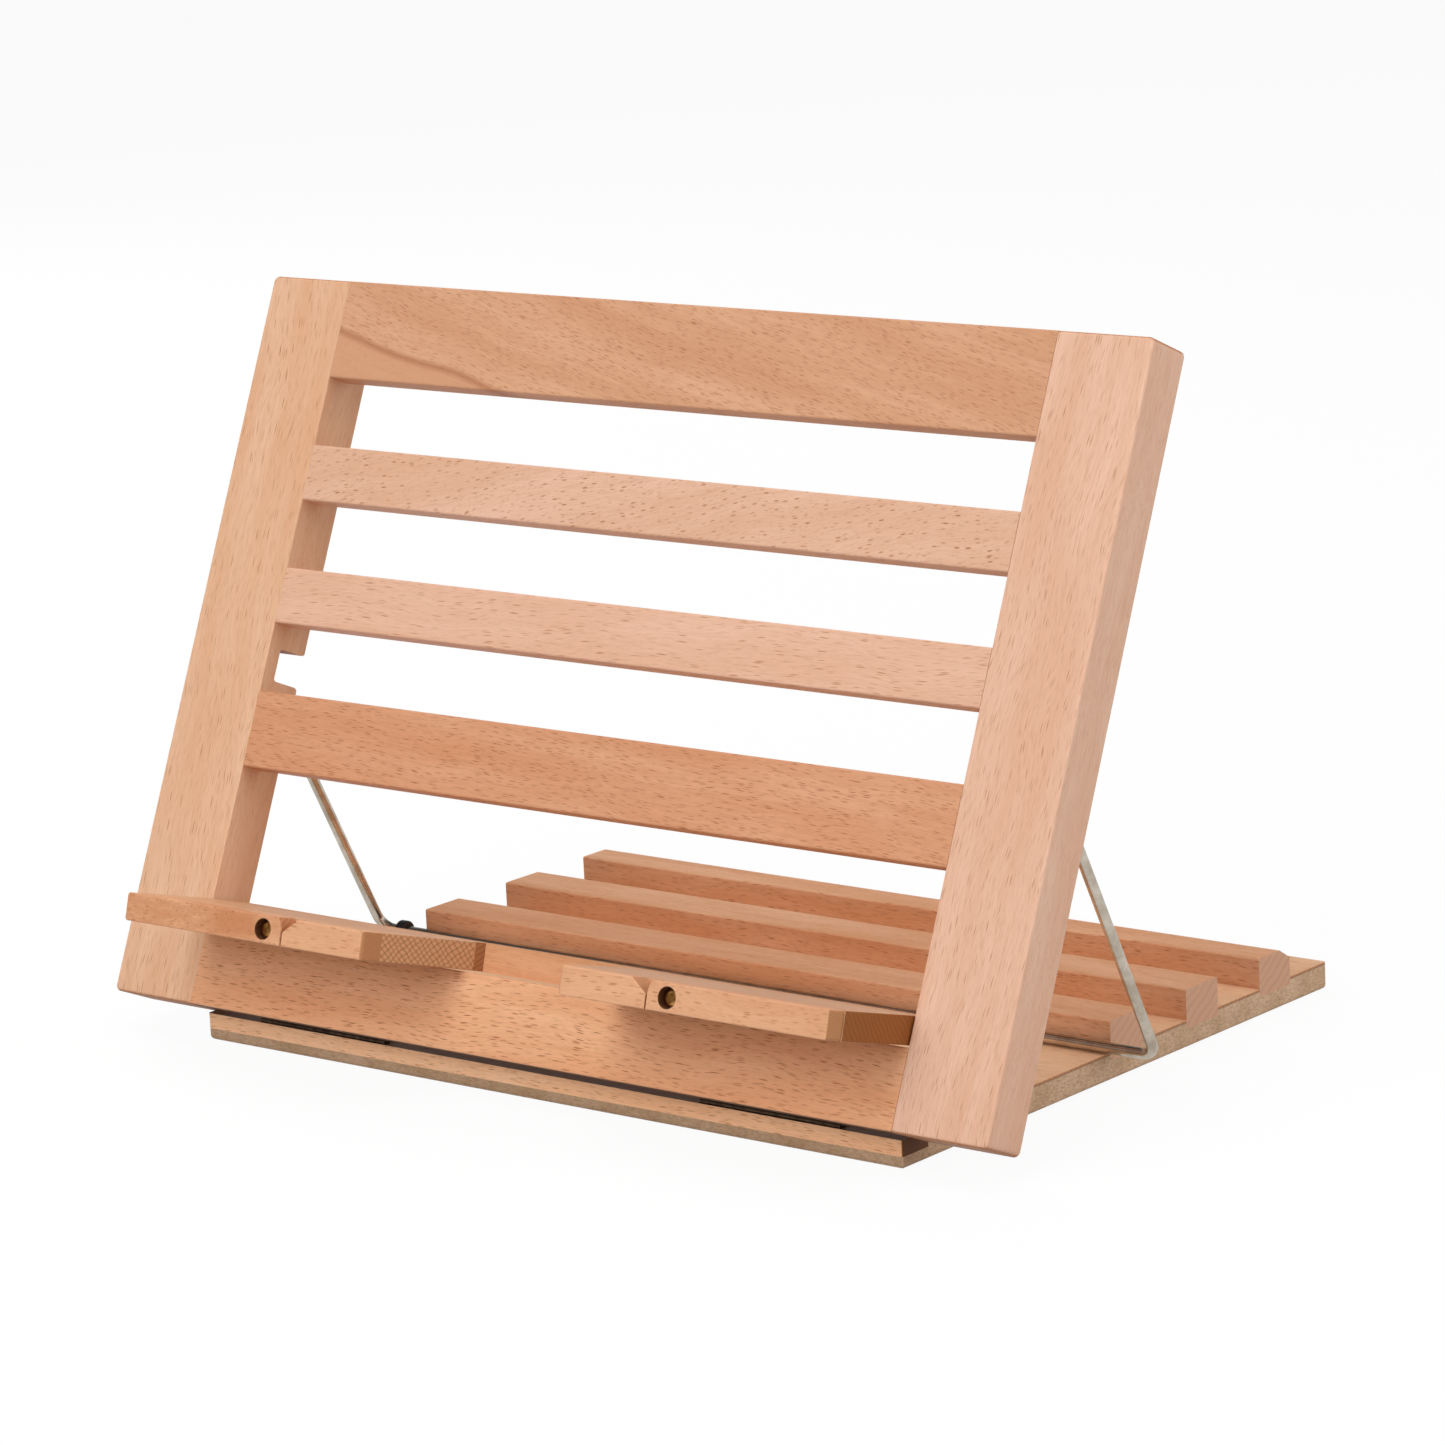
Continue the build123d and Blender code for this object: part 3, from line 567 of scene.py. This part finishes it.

# %% [markdown]
# ## Metals and rubber
# The prop is plated steel wire, pale at its edges and dark in its core. The hinges are steel
# darkened to brown as painted shade, nearly black in their gap, and the page holders turn on brass
# screws that glint orange in their holes. A metal's colour is its reflection, so it is metallic at
# the default IOR. It could be one even polish, but small differences in its roughness are what
# make it look handled.
# The ring on the wire is moulded black rubber, which gives a soft dark shine.

# %% Metals
def worked_metal(name, bright, dull, smoothest, roughest, mark):
    """Metal with soft marks of the given size in mm."""
    material, tree = new_material(name)
    place = put(tree, "TexCoord", {})
    metal_place = put(tree, "Mapping", {"Vector": place.outputs["Object"], "Scale": in_mm})
    steps = put(tree, "VectorMath", {0: metal_place, 1: per_mm((mark, mark, mark))},
                operation="MULTIPLY")
    marks = put(tree, "TexNoise", {"Vector": steps, "Scale": 1.0, "Detail": 4.0,
                                   "Roughness": 0.6})
    duller = put(tree, "MapRange", {"Value": marks, "From Min": 0.35, "From Max": 0.65})
    colour = put(tree, "Mix", {mix_share: duller, mix_a: linear(bright), mix_b: linear(dull)},
                 data_type="RGBA")
    polish = put(tree, "MapRange", {"Value": marks, "From Min": 0.3, "From Max": 0.7,
                                    "To Min": smoothest, "To Max": roughest})
    metal = put(tree, "BsdfPrincipled", {"Base Color": colour, "Roughness": polish,
                                         "Metallic": 1.0})
    put(tree, "OutputMaterial", {"Surface": metal})
    return material


plated_wire = worked_metal("plated_steel_wire", "#DCD2C4", "#B8AC9A", 0.16, 0.28, mark=9.0)
# Painted shade: the hinge steel's dark brown colour stands in for the shadow in their gap.
hinge_steel_painted_shade = worked_metal("dark_hinge_steel_painted_shade", "#5C4A3C", "#3B2C22", 0.28, 0.42, mark=3.0)
screw_steel = worked_metal("screw_steel", "#8C7F72", "#6A5D50", 0.28, 0.40, mark=2.0)
brass = worked_metal("turned_brass", "#FFC070", "#D88A3C", 0.26, 0.40, mark=1.5)
finish(plated_wire, "wire_prop")
finish(hinge_steel_painted_shade, "left_hinge_base_leaf", "right_hinge_base_leaf", "left_hinge_frame_leaf",
       "right_hinge_frame_leaf", "left_hinge_pin", "right_hinge_pin", "left_ledge_pin",
       "right_ledge_pin")

# %% Rubber
rubber_grains_in_a_metre = 1800.0    # about half a millimetre each


def black_rubber(name):
    """Moulded rubber with a fine grain."""
    material, tree = new_material(name)
    place = put(tree, "TexCoord", {})
    grain = put(tree, "TexNoise", {"Vector": place.outputs["Object"],
                                   "Scale": rubber_grains_in_a_metre, "Detail": 2.0})
    colour = put(tree, "Mix", {mix_share: grain, mix_a: linear("#141414"),
                               mix_b: linear("#222120")}, data_type="RGBA")
    rubber = put(tree, "BsdfPrincipled", {"Base Color": colour, "Roughness": 0.3})
    put(tree, "OutputMaterial", {"Surface": rubber})
    return material


finish(black_rubber("moulded_rubber"), "rubber_ring")
print("materials made:", len(bpy.data.materials))

# %% [markdown]
# ## Screws with a cross recess
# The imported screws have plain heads. A real head has a cross for the driver. It could be cut out
# with a boolean, but it is easy to push in if the head starts as a square grid: the faces that
# make the cross go down and draw in, and the rest of the grid is bridged to the round rim. The
# sides then follow a short list of height and radius, from the rim down to the tip. One screw is
# made, and it is copied to each place.

# %% One screw
head_squares = 8       # along one side of the head's grid
head_half = 0.62       # half of that side, next to the cross's width
recess_taper = 0.72    # the recess's floor, next to its mouth
arm_squares = 3        # from the middle of the cross to the end of an arm


def cross_head_screw(radius, rim, cross, depth, profile):
    """A screw at the origin, head up; rim is its rounding, profile lists (height, radius)."""
    screw = bmesh.new()
    bmesh.ops.create_grid(screw, x_segments=head_squares, y_segments=head_squares,
                          size=head_half * cross * mm)
    square_edge = [edge for edge in screw.edges if edge.is_boundary]
    step = 2 * head_half * cross * mm / head_squares
    arms = [face for face in screw.faces
            if min(abs(v) for v in face.calc_center_median()[:2]) < step
            and max(abs(v) for v in face.calc_center_median()[:2]) < arm_squares * step]
    pushed = bmesh.ops.extrude_face_region(screw, geom=arms)
    floor_points = [item for item in pushed["geom"] if isinstance(item, bmesh.types.BMVert)]
    bmesh.ops.delete(screw, geom=arms, context="FACES")
    bmesh.ops.scale(screw, verts=floor_points, vec=(recess_taper, recess_taper, 1.0))
    bmesh.ops.translate(screw, verts=floor_points, vec=(0, 0, -depth * mm))
    circle = bmesh.ops.create_circle(screw, segments=32, radius=radius * mm)
    ring = [edge for edge in screw.edges if edge.verts[0] in circle["verts"]]
    bmesh.ops.bridge_loops(screw, edges=square_edge + ring)
    rim_edges = ring
    last_radius = radius
    for height, next_radius in profile:
        grown = bmesh.ops.extrude_edge_only(screw, edges=ring)
        points = [item for item in grown["geom"] if isinstance(item, bmesh.types.BMVert)]
        ring = [item for item in grown["geom"] if isinstance(item, bmesh.types.BMEdge)
                and all(point in points for point in item.verts)]
        level = points[0].co.z
        share = next_radius / last_radius
        bmesh.ops.scale(screw, verts=points, vec=(share, share, 1.0))
        bmesh.ops.translate(screw, verts=points, vec=(0, 0, height * mm - level))
        last_radius = next_radius
    bmesh.ops.edgeloop_fill(screw, edges=ring)
    bmesh.ops.bevel(screw, geom=rim_edges, affect="EDGES", offset=rim * mm, segments=4,
                    profile=0.5, material=-1)
    bmesh.ops.recalc_face_normals(screw, faces=screw.faces)
    screw.verts.index_update()
    print("one screw has", len(screw.faces), "faces")
    return screw


# %% Copies of a screw
def place_screws(name, screw, places, material, body, replaced):
    """Copy the screw to each place, as one object in the stand's frame."""
    one = bpy.data.meshes.new(name + "_one")
    # An extrusion lists its faces in another order each run, so they are sorted here.
    faces = sorted([point.index for point in face.verts] for face in screw.faces)
    one.from_pydata([point.co for point in screw.verts], [], faces)
    together = bmesh.new()
    for where in places:
        before = len(together.verts)
        together.from_mesh(one)
        together.verts.ensure_lookup_table()
        bmesh.ops.transform(together, matrix=where, verts=together.verts[before:])
    mesh = bpy.data.meshes.new(name)
    together.to_mesh(mesh)
    together.free()
    bpy.data.meshes.remove(one)
    mesh.materials.append(material)
    mesh.shade_smooth()
    mesh.set_sharp_from_angle(angle=radians(35))
    piece = bpy.data.objects.new(name, mesh)
    bpy.context.scene.collection.objects.link(piece)
    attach(piece, body)
    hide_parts(*replaced)
    print(name, "screws:", len(places), "faces:", len(mesh.polygons))


# %% [markdown]
# ## Hinge screws
# Six screws go down into the base and six into the back of the bottom rail, three to a leaf. The
# leaves' own boxes say where each hinge is along the stand. The two rows turn about the same
# hinge axis, so the frame's screws are the base's, tipped by the lean. No two were driven home
# at the same angle, so each cross is turned a little further than the last.

# %% Hinge screws
hinge_axis = Vector((0, -125.5, 10.6)) * mm
screw_from_axis = 7.4 * mm
screw_gap = 20.0 * mm
base_cross_turn, frame_cross_turn = 0.7, 0.5    # radians from one screw to the next
leaf_screw = cross_head_screw(radius=2.1, rim=0.15, cross=1.6, depth=0.6,
                              profile=[(-1.1, 1.1), (-7.0, 1.1), (-7.8, 0.3)])
hinge_middles = [sum(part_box(side + "_hinge_base_leaf")[end][0] for end in (0, 1)) / 2
                 for side in ("left", "right")]
screw_columns = [middle + k * screw_gap for middle in hinge_middles for k in (-1, 0, 1)]
tip_frame = Matrix.Rotation(lean, 4, "X")
face_back = Matrix.Rotation(pi, 4, "Y")
on_base = [Matrix.Translation(hinge_axis + Vector((x, screw_from_axis, 0)))
           @ Matrix.Rotation(base_cross_turn * k, 4, "Z") for k, x in enumerate(screw_columns)]
on_frame = [Matrix.Translation(hinge_axis + Vector((x, 0, 0))) @ tip_frame
            @ Matrix.Translation((0, screw_from_axis, 0)) @ face_back
            @ Matrix.Rotation(frame_cross_turn * k, 4, "Z") for k, x in enumerate(screw_columns)]
place_screws("base_cross_screws", leaf_screw, on_base, screw_steel, "base",
             ["base_hinge_screws"])
place_screws("frame_cross_screws", leaf_screw, on_frame, screw_steel, "frame",
             ["frame_hinge_screws"])
leaf_screw.free()

# %% [markdown]
# ## Page holder screws
# Each page holder turns on a brass screw at the bottom of a counterbore, just under the wood's
# face. They could be placed in the stand's own directions, but the ledge is tipped, so it is
# simpler to place them along the ledge's depth and to tip them with it.

# %% Page holder screws
ledge_pivot = Vector((0, -116.697, 44.737)) * mm
head_face = -47.393 * mm    # along the ledge's depth, from its pivot
holder_cross_turn = radians(30)
holder_screw = cross_head_screw(radius=3.0, rim=0.9, cross=2.6, depth=1.1,
                                profile=[(-2.3, 3.0), (-2.31, 1.6), (-20.8, 1.6), (-22.3, 0.4)])
tip_ledge = Matrix.Rotation(ledge_tip, 4, "X")
face_front = Matrix.Rotation(pi / 2, 4, "X")
for side, x in (("left", -holder_screw_x * mm), ("right", holder_screw_x * mm)):
    seat = (Matrix.Translation(ledge_pivot) @ tip_ledge @ Matrix.Translation((x, head_face, 0))
            @ face_front @ Matrix.Rotation(holder_cross_turn, 4, "Z"))
    place_screws(side + "_brass_screw", holder_screw, [seat], brass, "ledge",
                 [side + "_holder_screw"])
holder_screw.free()

# %% [markdown]
# ## Floor
# The photograph has a plain white ground. A floor lit until it is white would burn out the pale
# wood too, so the ground is white another way: camera rays see mostly plain white there, and a
# little of the paint, which keeps the soft shadow. Rays that a shiny or clear surface sends on
# see white as well, but less of it, so that the wire keeps a dark side. The light that the floor
# throws back on the stand comes from its light grey paint.

# %% Floor
floor_half, floor_drop = 6.0, 0.2 * mm
white_seen, white_mirrored = 0.93, 0.6    # share of plain white over the paint

floor_mesh = bmesh.new()
bmesh.ops.create_grid(floor_mesh, x_segments=1, y_segments=1, size=floor_half)
bmesh.ops.translate(floor_mesh, verts=floor_mesh.verts, vec=(0, 0, -floor_drop))
floor_data = bpy.data.meshes.new("pale_floor")
floor_mesh.to_mesh(floor_data)
floor_mesh.free()
floor = bpy.data.objects.new("pale_floor", floor_data)
bpy.context.scene.collection.objects.link(floor)

floor_paint, floor_tree = new_material("white_floor_paint")
rays = put(floor_tree, "LightPath", {})
tint = put(floor_tree, "Mix", {mix_share: rays.outputs["Is Camera Ray"],
                               mix_a: linear("#B4B4B4"), mix_b: linear("#FAFAFA")},
           data_type="RGBA")
paint = put(floor_tree, "BsdfPrincipled", {"Base Color": tint, "Roughness": 0.9})
mirrored = put(floor_tree, "Math", {0: rays.outputs["Is Glossy Ray"],
                                    1: rays.outputs["Is Transmission Ray"]},
               operation="MAXIMUM")
seen_plain = put(floor_tree, "Math", {0: rays.outputs["Is Camera Ray"], 1: white_seen},
                 operation="MULTIPLY")
seen_mirrored = put(floor_tree, "Math", {0: mirrored, 1: white_mirrored},
                    operation="MULTIPLY")
seen_share = put(floor_tree, "Math", {0: seen_plain, 1: seen_mirrored}, operation="MAXIMUM")
white = put(floor_tree, "Emission", {"Color": (1, 1, 1, 1), "Strength": 1.0})
ground = put(floor_tree, "MixShader", {0: seen_share, 1: paint, 2: white})
put(floor_tree, "OutputMaterial", {"Surface": ground})
floor_data.materials.append(floor_paint)
print("floor is", 2 * floor_half, "m wide, white seen by the camera:", white_seen)

# %% [markdown]
# ## World
# Behind the floor the camera has to see white too, while the stand gets only a faint even light
# from all around. Light Path tells the two apart. A mirror would show an even white room, and
# the wire would have no shape in it, so the room that shiny surfaces see has a darker ceiling
# and a darker wall on the left.

# %% World
world_light, ceiling, left_wall = 0.25, 0.15, 0.4    # where 1 is white

world = bpy.data.worlds.new("studio")
world.use_nodes = True
world_tree = world.node_tree
world_tree.nodes.clear()
world_rays = put(world_tree, "LightPath", {})
not_lighting = put(world_tree, "Math", {0: world_rays.outputs["Is Camera Ray"],
                                        1: world_rays.outputs["Is Glossy Ray"]},
                   operation="MAXIMUM")
not_lighting = put(world_tree, "Math", {0: not_lighting,
                                        1: world_rays.outputs["Is Transmission Ray"]},
                   operation="MAXIMUM")
way = put(world_tree, "TexCoord", {})
rise = put(world_tree, "SeparateXYZ", {"Vector": way.outputs["Generated"]})
from_left = put(world_tree, "MapRange", {"Value": rise.outputs["X"], "From Min": -0.2,
                                         "From Max": 0.45, "To Min": left_wall})
overhead = put(world_tree, "MapRange", {"Value": rise.outputs["Z"], "From Min": 0.3,
                                        "From Max": 0.75, "To Min": 1.0, "To Max": ceiling})
room = put(world_tree, "Math", {0: from_left, 1: overhead}, operation="MULTIPLY")
room = put(world_tree, "Math", {0: room, 1: world_rays.outputs["Is Camera Ray"]},
           operation="MAXIMUM")
level = put(world_tree, "MapRange", {"Value": not_lighting, "To Min": world_light,
                                     "To Max": room})
sky = put(world_tree, "Background", {"Color": (1, 1, 1, 1), "Strength": level})
put(world_tree, "OutputWorld", {"Surface": sky})
bpy.context.scene.world = world
print("world lights the stand at", world_light)

# %% [markdown]
# ## Softboxes
# The light in the photograph is soft: from the front for the frame, from above for the tops of
# the bars, and less from the sides, so that every edge turns. One large lamp would leave the
# sides flat, so there are four square softboxes, and the mix of their strengths was found by
# lighting a plain clay copy with one at a time. Shiny pieces don't mirror the lamps.

# %% Softboxes
stand_middle = Vector((0, 0, 120)) * mm
lamp_distance, lamp_size = 2.4, 1.6
# Degrees around the stand from its front, degrees up, and watts.
lamps = {"front_softbox": (0, 32, 34.0), "right_softbox": (90, 20, 23.0),
         "top_softbox": (0, 88, 17.0), "left_rear_softbox": (-110, 30, 24.0)}
for name, (around, height, watts) in lamps.items():
    across, up = radians(around), radians(height)
    toward = Vector((cos(up) * sin(across), -cos(up) * cos(across), sin(up)))
    lamp_data = bpy.data.lights.new(name, "AREA")
    lamp_data.size = lamp_size
    lamp_data.energy = watts
    lamp = bpy.data.objects.new(name, lamp_data)
    lamp.visible_glossy = False
    bpy.context.scene.collection.objects.link(lamp)
    lamp.matrix_world = (Matrix.Translation(stand_middle + lamp_distance * toward)
                         @ toward.to_track_quat("Z", "Y").to_matrix().to_4x4())
    print(name, "is", around, "degrees around,", height, "up, with", watts, "W")
bpy.context.scene.view_settings.view_transform = "Standard"
